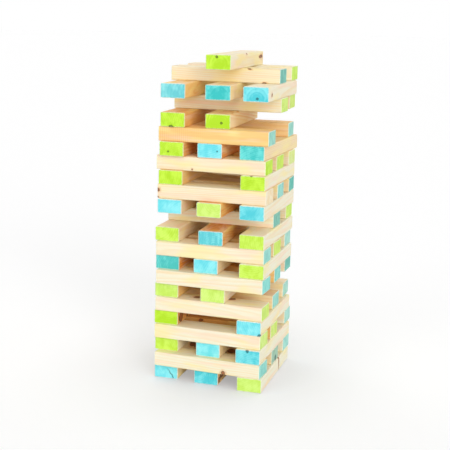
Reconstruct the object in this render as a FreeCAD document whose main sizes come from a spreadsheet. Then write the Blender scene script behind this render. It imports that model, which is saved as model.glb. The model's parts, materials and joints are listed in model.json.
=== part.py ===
import FreeCAD, Part
import os

import Sketcher
from FreeCAD import Placement, Rotation, Vector

# Giant tumbling tower for the lawn, in the middle of a game.
#
# The set is one planed pine block, repeated. The blocks lie loose, face to face, at most three to a
# layer, and each layer crosses the one below. Some places are empty, because their blocks have been
# drawn out and laid on top. Every block stays a part of its own, since a player can draw any of them.
#
# Millimetres, +Z up. The origin is on the ground, under the middle of the stack. A player in front
# looks along +Y and has +X to the right.

# The driving sizes, one cell of the sheet each.
SIZES = {
    "block_length": 260,
    "block_width": 58,
    "block_thickness": 33,
    "arris": 2,  # the long edges, taken off by the planer
    "end_rim": 1,  # the edges of each sawn end, sanded off
    "bedding": 0.05,  # between two layers, since planed wood beds only on its high spots
    "nudge": 1,  # the unit in which a hand-laid block is pushed out of line
}

# The three places in a layer, as steps from its middle. In an odd layer the blocks run from front to
# back and stand side by side. In an even layer they run from left to right, one behind the other.
ODD_PLACES = {"left": -1, "middle": 0, "right": 1}
EVEN_PLACES = {"front": -1, "middle": 0, "back": 1}

# How each block lies, from the ground up: (push, shift, skew). A place that isn't named is empty.
#   push   how far it stands out lengthwise, to the back or to the right, in nudges
#   shift  how far it stands from its place, to the right or to the back, in percent of the row gap
#   skew   how far its far end is out of line with its near end, in percent of the row gap;
#          a plus turns the block anticlockwise, seen from above
STACK = [
    {"left": (3, -5, 0), "middle": (-5, -5, 5), "right": (-19, 10, 10)},
    {"front": (3, -35, -30), "middle": (1, -30, 5), "back": (1, -20, 5)},
    {"left": (11, -10, 0), "middle": (-1, 5, -5), "right": (-18, 5, -5)},
    {"front": (0, -15, -20), "middle": (0, -50, -5), "back": (-1, 10, 10)},
    {"left": (6, -10, 0), "right": (-11, 0, 0)},
    {"front": (1, -10, -15), "middle": (-4, 0, 5), "back": (-9, 20, 20)},
    {"left": (5, 0, -15), "middle": (-3, 20, 10)},
    {"front": (4, -25, -25), "middle": (0, -15, 10), "back": (-4, 10, 10)},
    {"left": (7, 0, -10), "middle": (-1, -15, -5), "right": (-11, 5, 5)},
    {"front": (1, -5, -10), "middle": (1, -35, -15), "back": (-2, -30, 10)},
    {"left": (9, -10, 0), "middle": (2, -5, 20), "right": (-4, 0, 0)},
    {"middle": (-3, -30, -5), "back": (-4, 5, 0)},
    {"left": (5, 0, 10), "middle": (-5, 0, -5), "right": (-4, 0, -5)},
    {"front": (0, 20, -10), "middle": (0, 0, 10), "back": (0, -5, 30)},
    {"left": (10, 5, 0), "right": (5, -5, -5)},
    {"front": (-5, 35, -10), "middle": (-3, 10, -10), "back": (1, -10, 0)},
    {"left": (6, 15, -5), "middle": (12, -15, 0), "right": (16, -10, -25)},
    {"front": (1, 25, 0), "back": (-5, -5, 25)},
    {"left": (9, 10, 10), "middle": (18, 10, 25)},
    {"middle": (3, 15, -5), "back": (-5, 10, 20)},
    {"left": (-5, 25, 5), "middle": (-5, 25, 25), "right": (-8, 5, 5)},
    {"middle": (1, -20, 5), "back": (-3, 30, 5)},
    {"middle": (-2, 35, 0)},
]

# The outer blocks of a full layer lie flush with the ends of the blocks that cross them, which puts
# each row this far from the next and leaves this gap between two blocks.
ROW_STEP = "(Sizes.block_length - Sizes.block_width) / 2"
ROW_GAP = "(Sizes.block_length - 3 * Sizes.block_width) / 2"

# The rise from one layer to the next. The bedding keeps a block free to slide between its neighbours.
LAYER_STEP = "(Sizes.block_thickness + Sizes.bedding)"


def make_sheet(doc):
    """Writes the driving sizes into the document's sheet, a named cell each."""
    sheet = doc.addObject("Spreadsheet::Sheet", "Sizes")
    for row, (name, value) in enumerate(SIZES.items(), start=1):
        sheet.set(f"A{row}", name)
        sheet.set(f"B{row}", str(value))
        sheet.setAlias(f"B{row}", name)
    doc.recompute()


def origin_plane(body, role):
    """One of a body's own three origin planes."""
    return next(plane for plane in body.Origin.OriginFeatures if plane.Role == role)


def draw_section(body):
    """The sawn stock's cross-section: a rectangle that stands on the X axis, centred on the Y axis."""
    half, height = SIZES["block_width"] / 2, SIZES["block_thickness"]
    sketch = body.newObject("Sketcher::SketchObject", "Section")
    sketch.AttachmentSupport = [(origin_plane(body, "XZ_Plane"), "")]
    sketch.MapMode = "FlatFace"

    corners = [Vector(-half, 0, 0), Vector(half, 0, 0), Vector(half, height, 0), Vector(-half, height, 0)]
    for start, end in zip(corners, corners[1:] + corners[:1]):
        sketch.addGeometry(Part.LineSegment(start, end))
    bottom, right, top, left = range(4)
    for side, following in ((bottom, right), (right, top), (top, left), (left, bottom)):
        sketch.addConstraint(Sketcher.Constraint("Coincident", side, 2, following, 1))
    for side in (right, left):
        sketch.addConstraint(Sketcher.Constraint("Vertical", side))
    sketch.addConstraint(Sketcher.Constraint("Horizontal", top))
    sketch.addConstraint(Sketcher.Constraint("PointOnObject", bottom, 1, -1))
    sketch.addConstraint(Sketcher.Constraint("Symmetric", bottom, 1, bottom, 2, -2))
    driven = [
        ("width", Sketcher.Constraint("DistanceX", bottom, 1, bottom, 2, 2 * half), "Sizes.block_width"),
        ("thickness", Sketcher.Constraint("DistanceY", right, 1, right, 2, height), "Sizes.block_thickness"),
    ]
    for name, constraint, size in driven:
        sketch.renameConstraint(sketch.addConstraint(constraint), name)
        sketch.setExpression(f"Constraints.{name}", size)
    return sketch


def edges_along(shape, lengthwise):
    """The names of a plain block's edges that run along its length, or of those that don't."""
    names = []
    for n, edge in enumerate(shape.Edges, start=1):
        runs_along_y = abs(edge.tangentAt(edge.FirstParameter).y) > 0.5
        if runs_along_y == lengthwise:
            names.append(f"Edge{n}")
    return names


def bevel(body, name, edges, size):
    """Cuts the named edges of the body's last feature back at 45 degrees by a size of the sheet."""
    chamfer = body.newObject("PartDesign::Chamfer", name)
    chamfer.Base = edges
    chamfer.setExpression("Size", f"Sizes.{size}")
    body.Document.recompute()
    return chamfer


def make_block(doc, label):
    """One block, lying along Y with the middle of its underside at the body's origin.

    It is sawn to length from planed stock, so the arrises are cut along the whole stock, and the rims
    of the sawn ends are sanded off after it.
    """
    body = doc.addObject("PartDesign::Body", "Block")
    body.Label = label

    stock = body.newObject("PartDesign::Pad", "Stock")
    stock.Profile = draw_section(body)
    stock.Midplane = True
    stock.setExpression("Length", "Sizes.block_length")
    doc.recompute()

    arrises = bevel(body, "Arrises", (stock, edges_along(stock.Shape, lengthwise=True)), "arris")
    bevel(body, "EndRims", (arrises, edges_along(arrises.Shape, lengthwise=False)), "end_rim")
    return body


def lay(body, level, place, push, shift, skew):
    """Puts a block in its layer: level layers up, place steps from the middle."""
    crosswise = level % 2 == 1
    body.Placement = Placement(Vector(), Rotation(Vector(0, 0, 1), 1))
    along = f"{push} * Sizes.nudge"
    aside = f"{place} * {ROW_STEP} + {shift} / 100 * {ROW_GAP}"
    askew = f"atan({skew} / 100 * {ROW_GAP} / Sizes.block_length)"
    body.setExpression(".Placement.Base.x", along if crosswise else aside)
    body.setExpression(".Placement.Base.y", aside if crosswise else along)
    body.setExpression(".Placement.Base.z", f"{level} * {LAYER_STEP}")
    body.setExpression(".Placement.Rotation.Angle", f"-90 deg + {askew}" if crosswise else askew)


def build_stack(doc):
    """Every block of the stack, from the ground up."""
    blocks = []
    for level, layer in enumerate(STACK):
        places = EVEN_PLACES if level % 2 == 1 else ODD_PLACES
        for name, (push, shift, skew) in layer.items():
            block = make_block(doc, f"layer_{level + 1:02d}_{name}")
            lay(block, level, places[name], push, shift, skew)
            blocks.append(block)
    doc.recompute()
    return blocks


def check(doc, blocks):
    """Stops if any feature failed or any block isn't one sound solid."""
    for feature in doc.Objects:
        if "Invalid" in feature.State or "Error" in feature.State:
            raise RuntimeError(f"{feature.Label} failed: {feature.State}")
    for block in blocks:
        shape = block.Shape
        if shape.isNull() or not shape.isValid() or len(shape.Solids) != 1:
            raise RuntimeError(f"{block.Label} is not one sound solid")


def main():
    doc = FreeCAD.newDocument("tumbling_tower")
    make_sheet(doc)
    blocks = build_stack(doc)
    check(doc, blocks)
    os.makedirs("parts", exist_ok=True)
    for block in blocks:
        block.Shape.exportStep(f"parts/{block.Label}.step")
    height = blocks[-1].Shape.BoundBox.ZMax
    print(f"{len(blocks)} blocks in {len(STACK)} layers, {height:.1f} mm tall")


main()
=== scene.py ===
"""The looks of a giant tumbling tower: 59 loose pine blocks with ends washed lime or turquoise.

Metres, +Z up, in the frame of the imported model. The origin is on the ground, under the middle of
the stack. A player in front looks along +Y and has +X to the right. In odd layers the blocks run
from front to back, in even layers from left to right.

Every block is dressed by a surface of its own, which takes its place, its direction and its size
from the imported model's node. A block's own axes are: across (x), along its length (y) and up (z),
from its middle, in millimetres. Its front or left end is the one at -y.
"""
import json
import logging
import math
from dataclasses import dataclass
from enum import Enum
from itertools import zip_longest

import bpy
import numpy as np
from mathutils import Matrix, Vector


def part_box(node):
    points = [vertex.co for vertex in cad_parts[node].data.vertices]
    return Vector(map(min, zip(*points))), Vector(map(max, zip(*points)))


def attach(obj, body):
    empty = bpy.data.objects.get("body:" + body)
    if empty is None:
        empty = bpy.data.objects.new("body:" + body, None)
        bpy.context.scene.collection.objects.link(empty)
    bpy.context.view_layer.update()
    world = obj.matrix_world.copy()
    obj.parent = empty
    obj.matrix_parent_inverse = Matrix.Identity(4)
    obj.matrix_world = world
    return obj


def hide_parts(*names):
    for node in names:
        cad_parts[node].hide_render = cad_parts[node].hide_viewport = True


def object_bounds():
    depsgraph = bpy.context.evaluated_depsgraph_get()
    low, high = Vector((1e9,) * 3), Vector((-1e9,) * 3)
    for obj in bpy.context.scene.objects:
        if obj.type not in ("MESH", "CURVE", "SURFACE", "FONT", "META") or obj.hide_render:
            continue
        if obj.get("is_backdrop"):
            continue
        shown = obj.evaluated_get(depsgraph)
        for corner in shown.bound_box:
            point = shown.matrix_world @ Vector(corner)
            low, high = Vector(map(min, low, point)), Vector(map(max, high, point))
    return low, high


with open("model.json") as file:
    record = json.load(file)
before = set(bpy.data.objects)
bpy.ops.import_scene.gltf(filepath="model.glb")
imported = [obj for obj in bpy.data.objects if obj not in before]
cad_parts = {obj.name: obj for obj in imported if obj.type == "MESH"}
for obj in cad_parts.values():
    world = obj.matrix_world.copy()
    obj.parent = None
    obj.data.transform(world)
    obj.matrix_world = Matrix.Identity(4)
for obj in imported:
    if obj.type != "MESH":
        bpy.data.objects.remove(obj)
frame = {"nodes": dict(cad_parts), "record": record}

LOG = logging.getLogger("tumbling_tower")
MM = 0.001
KNOTS = ("knot_a", "knot_b", "knot_c")  # the mesh's positions in up to three branches
NO_KNOT = (1000.0, 1000.0, 1.0)  # a position that no branch reaches
SAW_TEETH = 1250.0  # marks of the saw along a block, in radians per metre
SAW_CUTS = (900.0, 2600.0)  # its fine cuts on an end, across and up, in radians per metre
FIRST_SEED = 1000  # the first block's seed of chance
LEAN = 0.03  # the most that grain runs out of line where a look doesn't say
LOG_BLOCKS = 30  # how many blocks lie along the log before it starts again
UNSHADED_TOP_LAYERS = 2.1  # how many layers at the top are left without the painted shade

# Sizes in millimetres.
ARRISES = (2.4, 3.2)  # the smallest and the largest radius of a long edge
FINE_STEP = 0.8  # how far the points of a cracked end lie apart
PITHS = (18, 75)  # how near and how far the log's middle may lie
LOG_STEP = 600.0  # how far along the log one block lies from the next
SAWN_PART = 100.0  # how far from a block's middle the saw marks are at their full
SHADE = (34.0, 125.0)  # how far inside the stack the painted shade starts and is full

Pair = tuple[float, float]
Three = Colour = Point = tuple[float, float, float]
Chance = np.random.Generator
Material = bpy.types.Material
Socket = bpy.types.NodeSocket


def tint(*everyday: int) -> Colour:
    """Turns an everyday colour into the linear values that the shaders take.

    Args:
        *everyday: Its red, green and blue shares, 0 to 255.

    Returns:
        The three linear values, each 0 to 1: the everyday value to about the power 2.4.
    """
    shares = (share / 255 for share in everyday)
    return tuple(c / 12.92 if c <= 0.04045 else ((c + 0.055) / 1.055) ** 2.4 for c in shares)


@dataclass(frozen=True)
class Wash:
    """A thin coat of paint on a sawn end: even, soaked in, over a knot, and worn off at the rim."""

    even: Colour
    soaked: Colour
    knot: Colour
    rim: Colour

    @classmethod
    def of(cls, *everyday: tuple[int, int, int]) -> "Wash":
        """A wash of four everyday colours, in the order of its fields."""
        return cls(*(tint(*colour) for colour in everyday))


class Paint(Enum):
    """The paints that the ends are washed with. The last is the sawn wood by itself."""

    LIME = Wash.of((214, 251, 104), (190, 232, 56), (116, 146, 40), (248, 252, 216))
    BRIGHT_LIME = Wash.of((208, 249, 70), (180, 228, 18), (78, 96, 14), (244, 252, 200))
    PALE_LIME = Wash.of((220, 251, 136), (198, 236, 92), (126, 156, 60), (250, 253, 226))
    TURQUOISE = Wash.of((136, 236, 242), (72, 206, 218), (22, 86, 92), (240, 250, 242))
    SEA_TURQUOISE = Wash.of((134, 233, 224), (76, 204, 200), (22, 94, 98), (238, 248, 232))
    LIGHT_TURQUOISE = Wash.of((152, 243, 248), (98, 222, 234), (20, 84, 90), (246, 252, 246))
    TEAL = Wash.of((114, 230, 226), (48, 196, 194), (12, 84, 88), (230, 246, 234))
    DEEP_TEAL = Wash.of((106, 206, 188), (44, 164, 154), (18, 80, 80), (222, 240, 224))
    BARE = Wash.of((253, 244, 216), (246, 220, 170), (120, 66, 32), (253, 246, 224))


@dataclass(frozen=True)
class Pine:
    """Planed pine: its early and late wood from the palest boards to the most resinous ones.

    The last colour is painted shade: any of these is multiplied by it deep inside the stack.
    """

    pale: Colour = tint(247, 245, 224)
    pale_late: Colour = tint(246, 220, 162)
    warm: Colour = tint(250, 208, 132)
    warm_late: Colour = tint(234, 164, 78)
    resin: Colour = tint(234, 146, 44)
    resin_late: Colour = tint(198, 100, 22)
    blush: Colour = tint(254, 220, 192)
    straw: Colour = tint(253, 236, 156)
    halo: Colour = tint(228, 164, 96)
    knot: Colour = tint(150, 84, 38)
    bark: Colour = tint(52, 28, 14)
    kerf: Colour = tint(226, 158, 104)
    # painted shade: darker and more orange deep in the stack's recesses
    recess_shade_tint: Colour = (0.93, 0.72, 0.37)


@dataclass(frozen=True)
class Knot:
    """A branch in the wood: a cone from its root in the log to where it comes out of the block.

    Both points are in the block's own axes, in millimetres. The radius is the outer point's.
    """

    at: Point
    root: Point
    radius: float


@dataclass(frozen=True)
class Crack:
    """A drying crack in the front or left end, between two points (across, up) of that end."""

    start: Pair
    stop: Pair
    half_width: float  # where it is widest
    depth: float = 5.0
    sway: float = 0.7  # how far its line wavers to either side
    pace: float = 0.55  # how quickly it wavers, in radians per millimetre
    swell: float = 2.2  # its width follows the sine of its length's share times this


@dataclass(frozen=True)
class Look:
    """How one block differs from the next.

    Attributes:
        paint: What its ends are washed with.
        warmth: Its wood, from 0, pale, through 1, warm, to 2, resinous orange.
        pith: The log's middle, across and up from the block's, or None to let its seed choose.
        rings: How far its growth rings lie apart, in millimetres.
        grain: How strongly its late wood shows: 0 not at all, 1 in full.
        lean: How far its grain runs out of line with its length, across and up, per length.
        less_recess_shade: How much of its painted shade is taken off, as light gets in beside it.
        saw: How strongly marks of the saw cross its front or left part.
        thin: How thin the coat of paint is: 0 covers, 1 shows the bare wood.
        streaks: How strongly the paint lies in upright streaks.
        heart: How far from the pith the ends drink more paint, in millimetres.
        knots: Its branches, three at most.
        crack: A drying crack in its front or left end, if it has one.
    """

    paint: Paint
    warmth: float
    pith: Pair | None = None
    rings: float = 4.6
    grain: float = 0.5
    lean: Pair | None = None
    less_recess_shade: float = 0.0
    saw: float = 0.0
    thin: float = 0.0
    streaks: float = 0.0
    heart: float = 0.0
    knots: tuple[Knot, ...] = ()
    crack: Crack | None = None


class Waves(Enum):
    """The noises: how many waves fit into a metre on each axis, and how many finer copies."""

    FIBRE = (900, 900, 16), 3
    FLOW = (65, 65, 6), 2  # slow tints
    CLOUD = (34, 34, 9), 2  # slower ones
    WANDER = (22, 22, 3.5), 2  # of the growth rings
    WAVER = (160, 160, 160), 1  # of a knot's edge
    RAGGED = (240, 240, 240), 2  # the paint's edge
    PORES = (1500, 1500, 1500), 2
    BLOTCH = (70, 52, 50), 3  # where paint soaks in
    BANDS = (300, 22, 26), 2  # its upright streaks


class Step(Enum):
    """The smooth steps: the value that each starts at, the one it is full at, and its height."""

    KNOT = 1.15, 0.85, 1.0  # distances from a branch's axis, in its radii
    KNOT_HEART = 0.85, 0.6, 1.0
    SWIRL = 2.4, 0.9, 1.0
    RING_DARKENS = 0.25, 0.88, 1.0  # shares of a growth ring
    RING_STOPS = 1.0, 0.9, 1.0
    BLUSH = 0.48, 0.7, 0.6  # values of the noises
    STRAW = 0.48, 0.68, 0.6
    FIBRES = 0.45, 0.85, 0.35
    KERFS = 0.2, 1.1, 1.0
    BLOTCHES = 0.3, 0.72, 0.85
    PORES = 0.5, 0.75, 0.35
    STREAKS = 0.4, 0.68, 1.0
    COAT = 0.0, 2.3, 1.0  # millimetres in from the rim
    HEART = -0.6, 0.7, 0.9  # 1 is the pith, 0 the heart's edge


class Graph:
    """The node tree of a material or a world, put together with calls that give back sockets."""

    def __init__(self, owner: Material | bpy.types.World) -> None:
        """Empties the owner's tree.

        Args:
            owner: The material or the world.
        """
        owner.use_nodes = True
        self.owner, self.tree = owner, owner.node_tree
        self.tree.nodes.clear()

    def feed(self, socket: Socket, value: object) -> None:
        """Gives a socket its value.

        Args:
            socket: The input to feed.
            value: Another node's output, which is linked, or a plain value, which is set.
        """
        if isinstance(value, Socket):
            self.tree.links.new(value, socket)
        elif socket.type == "RGBA":
            socket.default_value = (*value, 1.0)
        else:
            socket.default_value = value

    def node(self, kind: str, inputs: dict | None = None, **settings: object) -> bpy.types.Node:
        """Adds a node.

        Args:
            kind: Its type.
            inputs: What its inputs are fed, by their index or name, or None.
            **settings: Its other properties.

        Returns:
            The node.
        """
        made = self.tree.nodes.new(kind)
        for name, value in settings.items():
            setattr(made, name, value)
        for key, value in (inputs or {}).items():
            self.feed(made.inputs[key], value)
        return made

    def attribute(self, name: str) -> Socket:
        """A vector that the mesh carries at each of its points."""
        return self.node("ShaderNodeAttribute", attribute_name=name).outputs["Vector"]

    def split(self, vector: Socket) -> tuple[Socket, ...]:
        """A vector's three numbers."""
        return tuple(self.node("ShaderNodeSeparateXYZ", {0: vector}).outputs)

    def maths(self, operation: str, *values: object, clamp: bool = False) -> Socket:
        """One sum, named as Blender names it, such as ADD or MAXIMUM."""
        inputs = dict(enumerate(values))
        return self.node("ShaderNodeMath", inputs, operation=operation, use_clamp=clamp).outputs[0]

    def times(self, first: object, second: object) -> Socket:
        """The product of two values."""
        return self.maths("MULTIPLY", first, second)

    def line(self, value: object, slope: object, start: object) -> Socket:
        """A value times a slope, plus a start."""
        return self.maths("MULTIPLY_ADD", value, slope, start)

    def length(self, x: Socket, y: Socket) -> Socket:
        """The root of the sum of two squares."""
        return self.maths("SQRT", self.maths("ADD", self.times(x, x), self.times(y, y)))

    def noise(self, where: Socket, waves: Waves) -> Socket:
        """Soft random values about 0.5.

        Args:
            where: The position that the noise is read at.
            waves: Which noise it is.

        Returns:
            The noise's value.
        """
        scale, detail = waves.value
        spread = self.node("ShaderNodeVectorMath", {0: where, 1: scale}, operation="MULTIPLY")
        inputs = {"Vector": spread.outputs[0], "Scale": 1.0, "Detail": detail}
        return self.node("ShaderNodeTexNoise", inputs).outputs[0]

    def rise(self, value: Socket, step: Step) -> Socket:
        """A smooth step of a value, from 0 where it starts to its height where it is full."""
        inputs = dict(zip(("Value", "From Min", "From Max", "To Max"), (value, *step.value)))
        return self.node("ShaderNodeMapRange", inputs, interpolation_type="SMOOTHSTEP").outputs[0]

    def blend(self, share: Socket, first: object, second: object, how: str = "MIX") -> Socket:
        """The first colour, which turns into the second, or its product with it, with the share."""
        inputs = {0: share, 6: first, 7: second}
        return self.node("ShaderNodeMix", inputs, data_type="RGBA", blend_type=how).outputs[2]

    def seen(self) -> Socket:
        """Tells what the camera sees from plain light.

        Returns:
            1 for what the camera sees, also mirrored or through glass, and 0 for plain light.
        """
        path = self.node("ShaderNodeLightPath").outputs
        either = self.maths("MAXIMUM", path["Is Camera Ray"], path["Is Glossy Ray"])
        return self.maths("MAXIMUM", either, path["Is Transmission Ray"])

    def end(self, shader: Socket, kind: str = "Material") -> None:
        """Ends the tree in a shader."""
        self.node(f"ShaderNodeOutput{kind}", {"Surface": shader})

    def surface(self, colour: Socket, roughness: Socket, height: Socket, depth: float) -> None:
        """Ends the tree in a satin surface.

        Args:
            colour: Its base colour.
            roughness: Its roughness.
            height: The relief, in millimetres.
            depth: How much of that relief is felt, 0 to 1.
        """
        bump = self.node("ShaderNodeBump", {"Strength": depth, "Distance": MM, "Height": height})
        inputs = {"Base Color": colour, "Roughness": roughness, "Normal": bump.outputs[0]}
        self.end(self.node("ShaderNodeBsdfPrincipled", inputs).outputs[0])


class Grain:
    """The pattern of the wood, worked out in the log's own space, so that it runs through a block.

    The mesh carries, at each point: "log", the position from the pith in metres, with the log's
    length as its third number; "own", the position in the block's axes in metres; "tone", the
    warmth, the late wood's strength and the ring spacing in metres; "marks", how strongly saw marks
    show, how far a crack is open and how much painted shade the stack's recesses get; and three
    "knot" positions, each measured from a branch's axis.
    """

    def __init__(self, graph: Graph, pine: Pine) -> None:
        """Works out the pattern's parts.

        Args:
            graph: The tree to work in.
            pine: The wood's colours.
        """
        self.graph, self.pine = graph, pine
        self.log = graph.attribute("log")
        self.own = graph.attribute("own")
        self.warmth, self.strength, self.spacing = graph.split(graph.attribute("tone"))
        self.saw, self.crack, self.recess_shade = graph.split(graph.attribute("marks"))
        self.knot_core, self.knot_heart, self.knot_halo = self._knots()
        self.reach, self.late = self._rings()
        self.fibre = graph.noise(self.log, Waves.FIBRE)
        self.flow = graph.noise(self.log, Waves.FLOW)
        self.cloud = graph.noise(self.log, Waves.CLOUD)

    def _knots(self) -> tuple[Socket, ...]:
        """The branches, the paler hearts within their bark, and the swirl of wood about them.

        A branch is a cone. The distance from its axis is divided by how far along the axis the
        point lies, so 1 is the branch's edge at any depth. The edge wavers a little.

        Returns:
            1 inside a branch and 0 outside it, 1 inside its bark and 0 outside that, and a value
            that falls off over twice its width.
        """
        g = self.graph
        waver = g.line(g.noise(self.own, Waves.WAVER), 0.9, 0.55)
        core = heart = halo = 0.0
        for name in KNOTS:
            x, y, depth = g.split(g.attribute(name))
            cone = g.maths("MINIMUM", g.maths("MAXIMUM", depth, 0.02), 1.3)
            reach = g.times(g.maths("DIVIDE", g.length(x, y), cone), waver)
            core = g.maths("MAXIMUM", core, g.rise(reach, Step.KNOT))
            heart = g.maths("MAXIMUM", heart, g.rise(reach, Step.KNOT_HEART))
            halo = g.maths("MAXIMUM", halo, g.rise(reach, Step.SWIRL))
        return core, heart, halo

    def _rings(self) -> tuple[Socket, Socket]:
        """How far out in the log the wood grew, and the late wood of its growth rings.

        The distance from the pith, pushed about by a slow noise of up to 12 mm and by 6 mm round
        the branches, is divided by the ring spacing. Within each ring the wood darkens slowly
        outwards and stops short, and every ring has its own strength.

        Returns:
            The distance from the pith in metres, and a value that is 0 in early wood and up to 1 in
            late wood.
        """
        g = self.graph
        x, y, _ = g.split(self.log)
        reach = g.line(g.noise(self.log, Waves.WANDER), 12 * MM, g.length(x, y))
        reach = g.line(self.knot_halo, 6 * MM, reach)
        turns = g.maths("DIVIDE", reach, self.spacing)
        part = g.maths("FRACT", turns)
        dark = g.times(g.rise(part, Step.RING_DARKENS), g.rise(part, Step.RING_STOPS))
        inputs = {"W": g.maths("FLOOR", turns)}
        own = g.node("ShaderNodeTexWhiteNoise", inputs, noise_dimensions="1D").outputs["Value"]
        return reach, g.times(dark, g.line(own, 0.75, 0.35))

    def wood(self) -> Socket:
        """The colour of the bare wood.

        Returns:
            The colour: pale or warm boards, late-wood lines, slow tints of blush and straw, fibres,
            the branches' swirl and knots, the marks of the saw, and painted shade deep inside the
            stack.
        """
        g, pine = self.graph, self.pine
        beyond = g.maths("SUBTRACT", self.warmth, 1.0, clamp=True)
        early = g.blend(self.warmth, pine.pale, pine.warm)
        early = g.blend(beyond, early, pine.resin)
        lines = g.blend(self.warmth, pine.pale_late, pine.warm_late)
        lines = g.blend(beyond, lines, pine.resin_late)
        share = g.maths("MULTIPLY", self.late, self.strength, clamp=True)
        colour = g.blend(share, early, lines)
        colour = g.blend(g.rise(self.flow, Step.BLUSH), colour, pine.blush)
        colour = g.blend(g.rise(self.cloud, Step.STRAW), colour, pine.straw)
        colour = g.blend(g.rise(self.fibre, Step.FIBRES), colour, lines)
        colour = g.blend(g.times(self.knot_halo, 0.55), colour, pine.halo)
        dark = g.blend(g.times(self.knot_core, self.knot_heart), pine.bark, pine.knot)
        colour = g.blend(g.times(self.knot_core, 0.92), colour, dark)
        _, y, _ = g.split(self.own)
        teeth = g.times(g.maths("SINE", g.times(y, SAW_TEETH)), 0.5)
        marks = g.times(g.rise(g.maths("ADD", teeth, self.flow), Step.KERFS), self.saw)
        colour = g.blend(marks, colour, pine.kerf)
        # painted shade: the wood darkens towards orange deep inside the stack
        return g.blend(self.recess_shade, colour, pine.recess_shade_tint, "MULTIPLY")


@dataclass(frozen=True)
class Finishes:
    """Makes each material of the blocks. Reliefs are in millimetres."""

    pine: Pine
    planed_relief: Three = (0.25, 0.25, -0.3)  # of the late wood, the fibres and the knots
    planed_rough: Pair = (0.16, 0.56)  # by its fibres, and at the least
    planed_felt: float = 0.35  # how much of its relief is felt
    sawn_relief: Three = (0.06, 0.3, 0.3)  # of the saw's cuts, the late wood and the pores
    sawn_rough: Pair = (0.2, 0.5)  # by its pores, and at the least
    sawn_felt: float = 0.4

    def planed(self) -> Material:
        """The planed faces of every block: satin wood with a felt grain, and fuzz over the fibres.

        Returns:
            The material.
        """
        g = Graph(bpy.data.materials.new("planed_pine"))
        grain = Grain(g, self.pine)
        late, fibre, knot = self.planed_relief
        relief = g.line(grain.late, late, g.times(grain.fibre, fibre))
        relief = g.line(grain.knot_core, knot, relief)
        rough = g.line(grain.fibre, *self.planed_rough)
        g.surface(grain.wood(), rough, relief, self.planed_felt)
        return g.owner

    def washed(self, paint: Paint) -> Material:
        """A sawn end under a thin wash of paint.

        The paint soaks into the late wood and the open fibres, so they stand out darker. It is worn
        off the rim, where the wood's edge shows pale, and it hardly takes on a knot. The mesh
        carries "rim", how far in from the block's sides and faces a point lies in millimetres, and
        "coat", how thin the paint is, its streaks, and how far from the pith the wood drinks more
        of it.

        Args:
            paint: The paint to wash it with.

        Returns:
            The material.
        """
        wash = paint.value
        g = Graph(bpy.data.materials.new(f"sawn_end_{paint.name.lower()}"))
        grain = Grain(g, self.pine)
        x, _, z = g.split(grain.own)
        to_side, to_top, _ = g.split(g.attribute("rim"))
        thin, streaks, heart = g.split(g.attribute("coat"))
        ragged = g.line(g.noise(grain.log, Waves.RAGGED), 2.8, -1.4)
        inward = g.maths("ADD", g.maths("MINIMUM", to_side, to_top), ragged)
        cover = g.rise(inward, Step.COAT)
        pores = g.noise(grain.log, Waves.PORES)
        blotch = g.noise(grain.log, Waves.BLOTCH)
        bands = g.noise(grain.log, Waves.BANDS)
        soaked = g.times(grain.late, g.times(grain.strength, 0.7))
        soaked = g.maths("ADD", soaked, g.rise(blotch, Step.BLOTCHES))
        soaked = g.maths("ADD", soaked, g.rise(pores, Step.PORES))
        soaked = g.line(g.rise(bands, Step.STREAKS), streaks, soaked)
        out = g.maths("DIVIDE", grain.reach, g.maths("MAXIMUM", heart, MM))
        soaked = g.maths("ADD", soaked, g.rise(g.maths("SUBTRACT", 1.0, out), Step.HEART))
        soaked = g.maths("ADD", soaked, g.times(grain.knot_halo, 0.5), clamp=True)
        colour = g.blend(soaked, wash.even, wash.soaked)
        colour = g.blend(cover, wash.rim, g.blend(thin, colour, grain.wood()))
        through = g.times(grain.knot_core, g.line(grain.knot_heart, -0.15, 0.92))
        colour = g.blend(through, colour, wash.knot)
        colour = g.blend(g.times(grain.crack, 0.85), colour, self.pine.bark)
        cuts = g.maths("SINE", g.line(x, SAW_CUTS[0], g.times(z, SAW_CUTS[1])))
        saw, late, pore = self.sawn_relief
        relief = g.line(pores, pore, g.line(cuts, saw, g.times(grain.late, late)))
        g.surface(colour, g.line(pores, *self.sawn_rough), relief, self.sawn_felt)
        return g.owner


@dataclass(frozen=True)
class Skin:
    """A block's closed surface as whole arrays, in its own axes and in millimetres."""

    points: np.ndarray
    faces: np.ndarray  # four points each
    on_end: np.ndarray  # which faces belong to a sawn end
    crack: np.ndarray  # how far a crack opens each point, 0 to 1


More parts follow.
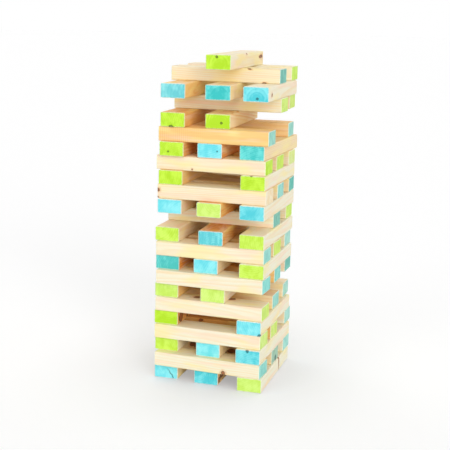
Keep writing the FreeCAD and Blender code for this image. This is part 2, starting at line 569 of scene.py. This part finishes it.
@dataclass(frozen=True)
class BlockShape:
    """The surface of one planed block, sawn to length, in its own axes and in millimetres."""

    width: float
    length: float
    thickness: float
    arris: float  # the radius of its long edges
    step: float = 5.0  # between its points, across and up
    pace: float = 6.5  # between them, along it
    rim: float = 1.0  # the radius of the edges of its ends
    arc_steps: int = 5  # the faces round an arris
    rim_steps: int = 3  # the faces round a rim
    support: float = 0.35  # from a rounded edge to the next points of the flat, to keep it flat
    rubbed: float = 0.33  # the most that an arris is rubbed down
    wear: tuple[int, int] = (14, 8)  # powers: how closely the rubbing keeps to it, across and up
    waves: Three = (0.021, 0.055, 0.13)  # of the rubbing, in a millimetre, for each of its sines

    def _spread(self, flat: float) -> np.ndarray:
        """Spreads places evenly over a flat, with one more close to each end.

        Args:
            flat: The flat's length.

        Returns:
            The places, from -1 to 1.
        """
        inner = max(2, round(flat / self.step))
        near = 1 - 2 * self.support / flat
        return np.concatenate(([-1.0], np.linspace(-near, near, inner + 1), [1.0]))

    def section(self, inset: float) -> tuple[np.ndarray, np.ndarray]:
        """The filled cross-section as a grid of points.

        A row lies at each height z. Over the rounded arrises the heights are the corner's middle
        plus the radius times the sine of an angle that goes from 0 to a right angle, so the rows
        crowd towards the broad faces. Each row spans from side to side: half the width, less the
        radius, plus the radius times the cosine of that angle.

        Args:
            inset: How far the outline is drawn in from the block's full section.

        Returns:
            The grids x and z, with a row for each height from the bottom up.
        """
        radius = self.arris - inset
        corner = self.thickness / 2 - self.arris
        turn = np.linspace(0, math.pi / 2, self.arc_steps + 1)
        straight = self._spread(2 * corner)[1:-1] * corner
        upper = corner + radius * np.sin(turn)
        heights = np.concatenate((-upper[::-1], straight, upper))
        reach = radius * np.cos(turn)
        bulge = np.concatenate((reach[::-1], np.full(len(straight), radius), reach))
        spans = self.width / 2 - self.arris + bulge
        across = self._spread(self.width - 2 * self.arris)
        return spans[:, None] * across[None, :], np.repeat(heights[:, None], len(across), axis=1)

    def outline(self, grid: np.ndarray) -> np.ndarray:
        """The values along a grid's border: bottom row, right side, top row, left side."""
        return np.concatenate((grid[0, :-1], grid[:-1, -1], grid[-1, :0:-1], grid[:0:-1, 0]))

    def stations(self) -> tuple[np.ndarray, np.ndarray]:
        """Where sections stand along the block, and how far each is drawn in.

        Over the sanded rim the place is the end less the rim times one minus the sine of an angle,
        and the inset is the rim times one minus its cosine. In between the inset is nought.

        Returns:
            The places from end to end, and the insets.
        """
        turn = np.linspace(0, math.pi / 2, self.rim_steps + 1)
        edge = self.length / 2 - self.rim * (1 - np.sin(turn))
        inset = self.rim * (1 - np.cos(turn))
        near = self.length / 2 - self.rim - self.support
        middle = np.linspace(-near, near, max(2, round(2 * near / self.pace)) + 1)
        places = np.concatenate((-edge[::-1], middle, edge))
        return places, np.concatenate((inset[::-1], np.zeros(len(middle)), inset))

    def skin(self, crack: Crack | None, seed: int) -> Skin:
        """The whole closed surface.

        The outline of the section is carried along the stations, each drawn in by its inset, and
        the two ends are closed by the section's own grid. The arrises are then rubbed down.

        Args:
            crack: A crack to open in the front end, or None.
            seed: Chooses how the arrises are rubbed.

        Returns:
            The surface, with its faces outwards.
        """
        places, insets = self.stations()
        sections = [self.section(inset) for inset in insets]
        rows, columns = sections[0][0].shape
        cap = rows * columns
        loops = np.array([np.column_stack((self.outline(x), self.outline(z))) for x, z in sections])
        rings, around = loops.shape[:2]
        tube = np.empty((rings, around, 3))
        tube[:, :, [0, 2]] = loops
        tube[:, :, 1] = places[:, None]
        tube = self._rubbed(tube, seed)

        ends = []
        for x, z, y in ((*sections[0], places[0]), (*sections[-1], places[-1])):
            ends.append(np.stack((x, np.full_like(x, y), z), axis=2))
        depth = np.zeros((rows, columns))
        if crack is not None:
            depth = self._opening(ends[0], crack)
            ends[0][:, :, 1] += depth * crack.depth
        grid = np.arange(cap).reshape(rows, columns)
        border = self.outline(grid)
        first, last = (end.reshape(-1, 3) for end in ends)
        for end, loop in ((first, tube[0]), (last, tube[-1])):
            end[border, 0], end[border, 2] = loop[:, 0], loop[:, 2]
        between = tube[1:-1].reshape(-1, 3)
        points = np.concatenate((first, between, last))

        ring = np.empty((rings, around), dtype=int)
        ring[0], ring[-1] = border, cap + len(between) + border
        ring[1:-1] = cap + np.arange(len(between)).reshape(rings - 2, around)
        onward = np.roll(ring, -1, axis=1)
        walls = np.stack((ring[:-1], onward[:-1], onward[1:], ring[1:]), axis=2)
        corner = (grid[:-1, :-1], grid[:-1, 1:], grid[1:, 1:], grid[1:, :-1])
        near_end = np.stack(corner, axis=2).reshape(-1, 4)
        far_end = near_end[:, ::-1] + cap + len(between)
        faces = np.concatenate((walls.reshape(-1, 4), near_end, far_end))

        rim_band = np.zeros((rings - 1, around), dtype=bool)
        rim_band[: self.rim_steps] = rim_band[-self.rim_steps :] = True
        on_end = np.concatenate((rim_band.ravel(), np.ones(2 * len(near_end), dtype=bool)))
        opened = np.zeros(len(points))
        opened[:cap] = depth.ravel()
        return Skin(points, faces, on_end, opened)

    def _rubbed(self, tube: np.ndarray, seed: int) -> np.ndarray:
        """Rubs the arrises down a little.

        Every point moves towards the block's axis. How much depends on how near it is to an arris,
        where both its distances from the axis are large, and on a sum of three sines of its place
        along the block.

        Args:
            tube: The sections' outlines, a row for each section.
            seed: Chooses where the sines start, for each arris.

        Returns:
            The outlines, rubbed down.
        """
        phases = np.random.default_rng(seed).uniform(0, 2 * math.pi, (3, 4))
        x, y, z = np.moveaxis(tube, 2, 0)
        beside = (np.abs(x) / (self.width / 2)) ** self.wear[0]
        near = beside * (np.abs(z) / (self.thickness / 2)) ** self.wear[1]
        which = (x > 0).astype(int) + 2 * (z > 0)
        sines = (np.sin(y * w * 2 * math.pi + phase[which]) for w, phase in zip(self.waves, phases))
        amount = self.rubbed * near * np.clip(0.5 + sum(sines) / 3, 0, 1)
        return np.stack((x - amount * np.sign(x), y, z - amount * np.sign(z)), axis=2)

    def _opening(self, end: np.ndarray, crack: Crack) -> np.ndarray:
        """How far a crack opens each point of an end.

        The distance from the crack's line, which wavers as a sine, is set against a half width that
        swells from nought at its start and is widest near its stop. The result falls evenly from 1
        on the line to 0 there.

        Args:
            end: The end's points.
            crack: The crack.

        Returns:
            How far each point is opened.
        """
        start = np.array(crack.start)
        run = crack.stop - start
        long = float(np.hypot(*run))
        flat = end[:, :, [0, 2]] - start
        along = flat @ (run / long)
        aside = flat @ (np.array([-run[1], run[0]]) / long)
        aside += crack.sway * np.sin(along * crack.pace)
        share = np.clip(along / long, 0, 1)
        width = crack.half_width * np.sin(share * crack.swell).clip(0.02)
        inside = (along > 0) & (along < long)
        return np.where(inside, np.clip(1 - np.abs(aside) / width, 0, 1), 0.0)


def put(name: str, data: bpy.types.ID) -> bpy.types.Object:
    """Makes an object and links it to the scene.

    Args:
        name: Its name.
        data: Its mesh, camera or light.

    Returns:
        The object.
    """
    made = bpy.data.objects.new(name, data)
    bpy.context.scene.collection.objects.link(made)
    return made


@dataclass(frozen=True)
class Place:
    """Where a block lies: its middle and its size in metres, and its three axes as rows."""

    middle: np.ndarray
    axes: np.ndarray
    size: np.ndarray

    @classmethod
    def of_node(cls, node: str) -> "Place":
        """Finds a block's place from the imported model.

        The corners' spread is greatest along the block, so its first principal direction, turned to
        point to the back or to the right, is the block's length. Up is +Z, and across is to the
        right of the length, seen from above.

        Args:
            node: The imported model's node.

        Returns:
            The place.
        """
        mesh = frame["nodes"][node].data
        corners = np.empty(len(mesh.vertices) * 3)
        mesh.vertices.foreach_get("co", corners)
        corners = corners.reshape(-1, 3)
        low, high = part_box(node)
        middle = (np.array(low) + np.array(high)) / 2
        flat = corners[:, :2] - middle[:2]
        _, _, directions = np.linalg.svd(flat, full_matrices=False)
        x, y = directions[0] * np.sign(directions[0].sum())
        axes = np.array([[y, -x, 0.0], [x, y, 0.0], [0.0, 0.0, 1.0]])
        size = np.ptp((corners - middle) @ axes.T, axis=0)
        return cls(middle, axes, size)

    def out(self, points: np.ndarray) -> np.ndarray:
        """Points in the block's own axes and millimetres, as points of the frame."""
        return self.middle + (points * MM) @ self.axes


@dataclass
class Block:
    """One block of the set: its surface, its wood and its paint."""

    node: str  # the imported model's node that it stands for
    number: int  # counted through the tower
    look: Look
    slot: str  # the record's material slot
    top: float  # the height of the whole stack, in millimetres

    def build(self, planed: Material, washed: Material) -> bpy.types.Object:
        """Makes the block's piece, sets it on the block's own body and hides the node's mesh.

        Args:
            planed: The material of its planed faces.
            washed: The material of its sawn ends.

        Returns:
            The piece, which rides on the block's own body and replaces its node.
        """
        place = Place.of_node(self.node)
        width, length, thickness = place.size / MM
        chance = np.random.default_rng(FIRST_SEED + self.number)
        step = FINE_STEP if self.look.crack else BlockShape.step
        shape = BlockShape(width, length, thickness, chance.uniform(*ARRISES), step)
        skin = shape.skin(self.look.crack, self.number)

        mesh = bpy.data.meshes.new(f"{self.node}_wood")
        mesh.from_pydata(place.out(skin.points).tolist(), [], skin.faces.tolist())
        mesh.materials.append(planed)
        mesh.materials.append(washed)
        mesh.polygons.foreach_set("material_index", skin.on_end.astype(np.int32))
        mesh.polygons.foreach_set("use_smooth", np.ones(len(skin.faces), dtype=bool))
        self._carry(mesh, skin, shape, place, chance)
        mesh.update()

        piece = put(f"{self.node}_wood", mesh)
        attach(piece, self.node)
        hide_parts(self.node)
        return piece

    def _carry(
        self, mesh: bpy.types.Mesh, skin: Skin, shape: BlockShape, place: Place, chance: Chance
    ) -> None:
        """Writes what the materials read onto the mesh's points.

        Args:
            mesh: The block's mesh.
            skin: Its surface, in the block's own axes.
            shape: Its sizes.
            place: Where it lies.
            chance: The block's own source of chance.
        """
        own, look = skin.points, self.look
        pith = look.pith
        if pith is None:  # most boards are cut beside the log's middle, a few hold it
            angle, away = chance.uniform(0, 2 * math.pi), chance.uniform(*PITHS)
            pith = away * math.cos(angle), away * math.sin(angle)
        lean = look.lean or tuple(chance.uniform(-LEAN, LEAN, 2))
        from_end = own[:, [1]] + shape.length / 2
        across = own[:, [0, 2]] + (from_end * lean - pith)
        along = own[:, [1]] + LOG_STEP * (self.number % LOG_BLOCKS)
        edges = np.array([shape.width / 2, shape.thickness / 2]) - np.abs(own[:, [0, 2]])
        sawn = look.saw * np.clip(-own[:, 1] / SAWN_PART, 0, 1)
        # painted shade, deepest inside the stack
        recess_shade = self._recess_shade(place, own, shape)
        rows = (len(own), 1)
        values = {
            "log": np.hstack((across, along)) * MM,
            "own": own * MM,
            "tone": np.tile((look.warmth, look.grain, look.rings * MM), rows),
            "marks": np.column_stack((sawn, skin.crack, recess_shade)),
            "rim": edges[:, [0, 1, 1]],
            "coat": np.tile((look.thin, look.streaks, look.heart * MM), rows),
        }
        for name, knot in zip_longest(KNOTS, look.knots):
            values[name] = self._from_knot(own, knot) if knot else np.tile(NO_KNOT, rows)
        for name, vectors in values.items():
            carried = mesh.attributes.new(name, "FLOAT_VECTOR", "POINT")
            carried.data.foreach_set("vector", vectors.astype(np.float32).ravel())

    def _recess_shade(self, place: Place, own: np.ndarray, shape: BlockShape) -> np.ndarray:
        """Painted shade at each point: 0 at the stack's sides and near its top, 1 deep inside.

        The distance in from the nearest side, or down from the underside of its two top layers if
        that is less, goes through a smooth step that starts and ends at two set depths. The stack
        is as wide as a block is long. A block that light reaches through an empty place beside it
        has that share of the shade taken off.

        Args:
            place: Where the block lies.
            own: The points in the block's own axes.
            shape: The block's sizes.

        Returns:
            The painted shade at each point, 0 to 1.
        """
        starts, ends = SHADE
        out = place.out(own) / MM
        inward = shape.length / 2 - np.abs(out[:, :2]).max(axis=1)
        below = self.top - UNSHADED_TOP_LAYERS * shape.thickness - out[:, 2]
        share = np.clip((np.minimum(inward, below) - starts) / (ends - starts), 0, 1)
        return share * share * (3 - 2 * share) * (1 - self.look.less_recess_shade)

    def _from_knot(self, own: np.ndarray, knot: Knot) -> np.ndarray:
        """Positions measured from a branch.

        The first two numbers are the distances from its axis, in units of its radius. The third is
        the distance from its root along the axis, in units of its length.

        Args:
            own: The points in the block's own axes.
            knot: The branch.

        Returns:
            A row of three for each point.
        """
        root = np.array(knot.root, float)
        axis = knot.at - root
        long = float(np.linalg.norm(axis))
        axis /= long
        side = np.cross(axis, (0.0, 0.0, 1.0) if abs(axis[2]) < 0.9 else (1.0, 0.0, 0.0))
        side /= np.linalg.norm(side)
        other = np.cross(axis, side)
        turn = np.stack((side / knot.radius, other / knot.radius, axis / long), axis=1)
        return (own - root) @ turn


P = Paint

# The blocks by layer and place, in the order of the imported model.
LOOKS = {
    "01_left": Look(P.LIGHT_TURQUOISE, 0.4, grain=0.3, crack=Crack((2.5, 9), (18.5, -14.5), 1.9)),
    "01_middle": Look(
        P.TURQUOISE, 0.9, pith=(-22, 15), grain=0.8, streaks=0.3, heart=15,
        knots=(Knot((29, -119, -5), (4, -112, 0), 7), Knot((29, -94, 4), (-8, -50, 8), 10)),
    ),
    "01_right": Look(P.PALE_LIME, 0.0, knots=(Knot((29, 35, 14), (27, 38, -30), 4),)),
    "02_front": Look(
        P.SEA_TURQUOISE, 0.14, thin=0.17, knots=(Knot((29, 43, -12), (4, 36, -4), 5),),
    ),
    "02_middle": Look(
        P.DEEP_TEAL, 0.4, thin=0.3,
        knots=(
            Knot((-5, 130.5, -8), (-2, 114, 4), 5), Knot((31, -64, 12), (12, -100, 6), 5.5),
            Knot((31, 32, 7), (12, -4, 2), 5.5),
        ),
    ),
    "02_back": Look(P.SEA_TURQUOISE, 0.0, thin=0.25),
    "03_left": Look(P.LIME, 0.2, less_recess_shade=0.5),
    "03_middle": Look(P.LIGHT_TURQUOISE, 0.6, grain=0.2),
    "03_right": Look(P.TURQUOISE, 0.0, knots=(Knot((-1, -130, 14), (-1, -124, 8), 3.5),)),
    "04_front": Look(P.PALE_LIME, 0.1, thin=0.1),
    "04_middle": Look(P.PALE_LIME, 1.3, thin=0.1, knots=(Knot((30, -44, 11), (10, -62, 6), 4),)),
    "04_back": Look(P.SEA_TURQUOISE, 0.0, thin=0.3),
    "05_left": Look(
        P.BRIGHT_LIME, 1.8, heart=40,
        knots=(Knot((29, -106, -2), (-30, -96, 2), 13), Knot((29, -64, -11), (2, -60, -6), 4)),
    ),
    "05_right": Look(
        P.LIGHT_TURQUOISE, 0.0, knots=(Knot((27.5, -131, -15.5), (14, -112, -12), 5.5),),
    ),
    "06_front": Look(
        P.LIME, 0.14, thin=0.15,
        knots=(Knot((-3, -38, 17), (-6, -32, -6), 7), Knot((-18, 43, 17), (-11, 39, -6), 8)),
    ),
    "06_middle": Look(P.SEA_TURQUOISE, 0.5, thin=0.2),
    "06_back": Look(P.SEA_TURQUOISE, 0.2, thin=0.3),
    "07_left": Look(P.PALE_LIME, 1.1, streaks=0.3),
    "07_middle": Look(P.PALE_LIME, 0.1, less_recess_shade=0.6),
    "08_front": Look(P.SEA_TURQUOISE, 0.12, thin=0.1),
    "08_middle": Look(P.SEA_TURQUOISE, 1.3, thin=0.12),
    "08_back": Look(P.DEEP_TEAL, 0.1, thin=0.06),
    "09_left": Look(P.TEAL, 1.9, grain=1.0, streaks=0.4, heart=46, thin=0.04),
    "09_middle": Look(P.LIGHT_TURQUOISE, 0.5),
    "09_right": Look(P.LIME, 0.0),
    "10_front": Look(P.SEA_TURQUOISE, 0.18, thin=0.2),
    "10_middle": Look(P.LIME, 0.6, thin=0.12),
    "10_back": Look(P.SEA_TURQUOISE, 0.2, thin=0.3),
    "11_left": Look(P.LIME, 0.3, less_recess_shade=0.5),
    "11_middle": Look(P.TURQUOISE, 1.4, grain=0.8, lean=(0.06, 0.1), thin=0.05, streaks=0.8),
    "11_right": Look(P.LIME, 0.05),
    "12_middle": Look(P.DEEP_TEAL, 0.0, less_recess_shade=0.85, thin=0.13),
    "12_back": Look(P.LIME, 0.2, thin=0.1),
    "13_left": Look(P.LIGHT_TURQUOISE, 0.4, less_recess_shade=0.5),
    "13_middle": Look(P.PALE_LIME, 1.7),
    "13_right": Look(P.TURQUOISE, 0.1),
    "14_front": Look(
        P.BARE, 0.24, grain=0.6,
        knots=(Knot((29, -129, 3), (4, -124, 0), 4.5), Knot((29, -129, -15), (4, -124, -12), 3)),
    ),
    "14_middle": Look(P.SEA_TURQUOISE, 0.4, less_recess_shade=0.2, thin=0.2),
    "14_back": Look(P.DEEP_TEAL, 0.5),
    "15_left": Look(P.BRIGHT_LIME, 1.1),
    "15_right": Look(P.BRIGHT_LIME, 0.05, knots=(Knot((-3, -128, 16), (-2, -127, 8), 3),)),
    "16_front": Look(P.BRIGHT_LIME, 0.26, knots=(Knot((29, -43, -12), (-10, -43, -20), 1.8),)),
    "16_middle": Look(P.BRIGHT_LIME, 0.5, thin=0.15),
    "16_back": Look(P.PALE_LIME, 0.3, thin=0.35),
    "17_left": Look(P.BRIGHT_LIME, 1.5, knots=(Knot((-7.5, -130, -6), (-4, -95, 0), 2),)),
    "17_middle": Look(
        P.LIGHT_TURQUOISE, 1.8, heart=34, knots=(Knot((18, -130, 0), (10, -100, 0), 1.8),),
    ),
    "17_right": Look(P.TEAL, 0.5),
    "18_front": Look(P.SEA_TURQUOISE, 1.0, rings=5.5, grain=0.35, saw=0.3, thin=0.2),
    "18_back": Look(P.SEA_TURQUOISE, 0.9, rings=9, grain=0.4, less_recess_shade=0.6, thin=0.2),
    "19_left": Look(P.BRIGHT_LIME, 1.2, knots=(Knot((-3, -130, -17.5), (-3, -60, -17.5), 6),)),
    "19_middle": Look(
        P.BRIGHT_LIME, 0.5, pith=(8, -3), rings=6, grain=1.2, lean=(0.0, 0.13), heart=30,
        knots=(Knot((8, -130, -3), (8, -70, -3), 3),),
    ),
    "20_middle": Look(P.LIME, 0.1, less_recess_shade=0.8, thin=0.15),
    "20_back": Look(P.LIME, 0.5, thin=0.2),
    "21_left": Look(
        P.TURQUOISE, 1.0, pith=(60, -10), rings=8, grain=0.42, lean=(0.1, -0.1), thin=0.08,
        heart=52,
    ),
    "21_middle": Look(P.TEAL, 0.5, pith=(4, -8), rings=9, grain=0.4, heart=22),
    "21_right": Look(
        P.TURQUOISE, 0.12, pith=(3, -9), rings=7.5, grain=0.55, heart=20,
        knots=(Knot((3, -130, -9.5), (3, -70, -9.5), 3), Knot((29, -102, -2), (4, -96, -8), 3.8)),
    ),
    "22_middle": Look(
        P.DEEP_TEAL, 0.25, thin=0.1, streaks=0.3,
        knots=(Knot((31, 62, 16), (10, 30, 14), 2.6), Knot((31, 97, -16.5), (12, 70, -14), 3.2)),
    ),
    "22_back": Look(P.LIME, 0.1),
    "23_middle": Look(
        P.BRIGHT_LIME, 0.15, pith=(3, -3), rings=8, heart=17,
        knots=(
            Knot((-3.5, -130.5, 11.8), (-3.5, -112, 9), 3.2), Knot((31, 109, 4), (20, 71, 3), 4.3),
            Knot((29, -8, 15), (8, -2, -4), 2.5),
        ),
    ),
}


@dataclass
class Tower:
    """The whole stack, from the ground up."""

    looks: dict[str, Look]
    pine: Pine
    top: float

    def build(self) -> None:
        """Makes the finishes once and then every block."""
        finishes = Finishes(self.pine)
        planed = finishes.planed()
        washed = {paint: finishes.washed(paint) for paint in Paint}
        slots = {part["node"]: part["material_slot"] for part in frame["record"]["subparts"]}
        for number, (place, look) in enumerate(self.looks.items()):
            node = f"layer_{place}"
            block = Block(node, number, look, slots[node], self.top)
            piece = block.build(planed, washed[look.paint])
            faces, paint = len(piece.data.polygons), look.paint.name.lower()
            LOG.info("%s: %d faces, %s ends", piece.name, faces, paint)
        LOG.info("%d blocks", len(self.looks))


@dataclass(frozen=True)
class Lamp:
    """A soft lamp: where it stands, how strongly it shines, and its spread.

    The azimuth is counted from the front towards the left, and the height above the ground, both in
    degrees. A strength of 1 lights a face that looks straight at the lamp as white.
    """

    name: str
    azimuth: float
    height: float
    strength: float
    spread: float
    distance: float = 3.0  # in metres

    def build(self) -> None:
        """Hangs the lamp."""
        data = bpy.data.lights.new(self.name, "SUN")
        data.energy = self.strength * math.pi
        data.angle = math.radians(self.spread)
        turn, lift = math.radians(self.azimuth), math.radians(self.height)
        level = math.cos(lift)
        source = Vector((-math.sin(turn) * level, -math.cos(turn) * level, math.sin(lift)))
        hung = put(self.name, data)
        hung.rotation_mode = "QUATERNION"
        hung.rotation_quaternion = source.to_track_quat("Z", "Y")
        hung.location = source * self.distance


@dataclass(frozen=True)
class Eye:
    """The camera: its place in metres, its turn in degrees, its lens and film in millimetres."""

    place: Point = (0.7351, -2.3521, 0.8682)
    yaw: float = 17.44
    pitch: float = -11.8
    roll: float = 1.08
    lens: float = 84.57
    film: float = 36.0
    nearest: float = 0.05
    farthest: float = 100.0

    def build(self) -> None:
        """Puts the camera up and makes it the scene's own.

        It looks along +Y, turned by the yaw towards -X and by the pitch upwards. The roll then
        lifts its right-hand side.
        """
        yaw, pitch, roll = (math.radians(angle) for angle in (self.yaw, self.pitch, self.roll))
        flat = math.cos(pitch)
        ahead = Vector((-math.sin(yaw) * flat, math.cos(yaw) * flat, math.sin(pitch)))
        level = Vector((math.cos(yaw), math.sin(yaw), 0.0))
        upright = level.cross(ahead)
        right = math.cos(roll) * level + math.sin(roll) * upright
        up = math.cos(roll) * upright - math.sin(roll) * level
        turn = Matrix((right, up, -ahead)).transposed()
        data = bpy.data.cameras.new("eye")
        data.lens, data.sensor_width = self.lens, self.film
        data.clip_start, data.clip_end = self.nearest, self.farthest
        camera = put("eye", data)
        camera.matrix_world = Matrix.Translation(self.place) @ turn.to_4x4()
        bpy.context.scene.camera = camera


@dataclass(frozen=True)
class Floor:
    """A wide round floor, just under the bottom blocks.

    It is a matt white that takes the tower's shadow. Where the camera sees it, painted shade
    darkens that white the more the tower closes it in, and a share of it is replaced by an even
    glow, so that it runs into the sky without an edge.
    """

    bounce: float = 0.86  # its white for plain light
    colour: float = 0.76  # its white where the camera sees it
    shade: Colour = (0.29, 0.30, 0.35)  # the painted shade that white turns into where the tower closes it in
    reach: float = 0.35  # of what closes it in, in metres
    glow: float = 0.35
    radii: tuple[float, ...] = (0.5, 2.0, 8.0, 30.0)  # of its rings of points, in metres
    sides: int = 96
    drop: float = 0.0004  # below the ground, in metres

    def build(self) -> None:
        """Lays the floor.

        Its points stand on rings: a radius times the cosine and the sine of an even turn. The inner
        ring is filled, and a band of faces joins each ring to the next.
        """
        turn = np.linspace(0, 2 * math.pi, self.sides + 1)[:-1]
        x, y = np.outer(self.radii, np.cos(turn)), np.outer(self.radii, np.sin(turn))
        points = np.stack((x, y, np.full_like(x, -self.drop)), axis=2).reshape(-1, 3)
        ring = np.arange(x.size).reshape(x.shape)
        onward = np.roll(ring, -1, axis=1)
        bands = np.stack((ring[:-1], ring[1:], onward[1:], onward[:-1]), axis=2).reshape(-1, 4)
        mesh = bpy.data.meshes.new("floor")
        mesh.from_pydata(points.tolist(), [], [list(ring[0])] + bands.tolist())
        mesh.materials.append(self._finish())
        put("floor", mesh)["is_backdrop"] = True

    def _finish(self) -> Material:
        """The floor's white.

        Returns:
            The material.
        """
        g = Graph(bpy.data.materials.new("pale_floor"))
        seen = g.seen()
        # painted shade: the seen white darkens where the tower closes the floor in
        air = g.node("ShaderNodeAmbientOcclusion", {"Distance": self.reach}, samples=16)
        near = g.blend(air.outputs["AO"], self.shade, (self.colour,) * 3)
        matt = g.node("ShaderNodeBsdfDiffuse", {"Color": g.blend(seen, (self.bounce,) * 3, near)})
        glow = g.node("ShaderNodeEmission", {"Strength": g.times(seen, self.glow)})
        both = g.node("ShaderNodeAddShader", {0: matt.outputs[0], 1: glow.outputs[0]})
        g.end(both.outputs[0])
        return g.owner


@dataclass(frozen=True)
class Studio:
    """A pale floor that runs out of sight, an even sky and six soft lamps."""

    sky: float = 0.48
    floor: Floor = Floor()
    lamps: tuple[Lamp, ...] = (
        Lamp("lamp_low_right", -42.0, 12.0, 0.29, 30.0),
        Lamp("lamp_front", -30.0, 30.0, 0.18, 30.0),
        Lamp("lamp_low_left", 30.0, 12.0, 0.10, 30.0),
        Lamp("lamp_high", 10.0, 45.0, 0.07, 40.0),
        Lamp("lamp_back_left", 135.0, 28.0, 0.18, 60.0),
        Lamp("lamp_back_right", -160.0, 28.0, 0.14, 60.0),
    )

    def build(self) -> None:
        """Lights the tower and lays the floor."""
        self._sky()
        self.floor.build()
        for lamp in self.lamps:
            lamp.build()
        bpy.context.scene.view_settings.view_transform = "Standard"

    def _sky(self) -> None:
        """A white sky: plain white where it is seen, and weaker as a light."""
        world = bpy.data.worlds.new("even_sky")
        bpy.context.scene.world = world
        g = Graph(world)
        inputs = {"Value": g.seen(), "To Min": self.sky, "To Max": 1.0}
        strength = g.node("ShaderNodeMapRange", inputs).outputs["Result"]
        light = g.node("ShaderNodeBackground", {"Color": (1.0, 1.0, 1.0), "Strength": strength})
        g.end(light.outputs[0], "World")


def as_list(bounds: tuple[Vector, Vector]) -> list[list[float]]:
    """A box's two corners as plain lists of numbers."""
    return [[float(v) for v in corner] for corner in bounds]


def main() -> None:
    """Builds the camera, the studio and the tower."""
    logging.basicConfig(level=logging.INFO, format="%(name)s: %(message)s")
    packed = as_list(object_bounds())
    Eye().build()
    Studio().build()
    Tower(LOOKS, Pine(), packed[1][2] / MM).build()


if __name__ == "__main__":
    main()
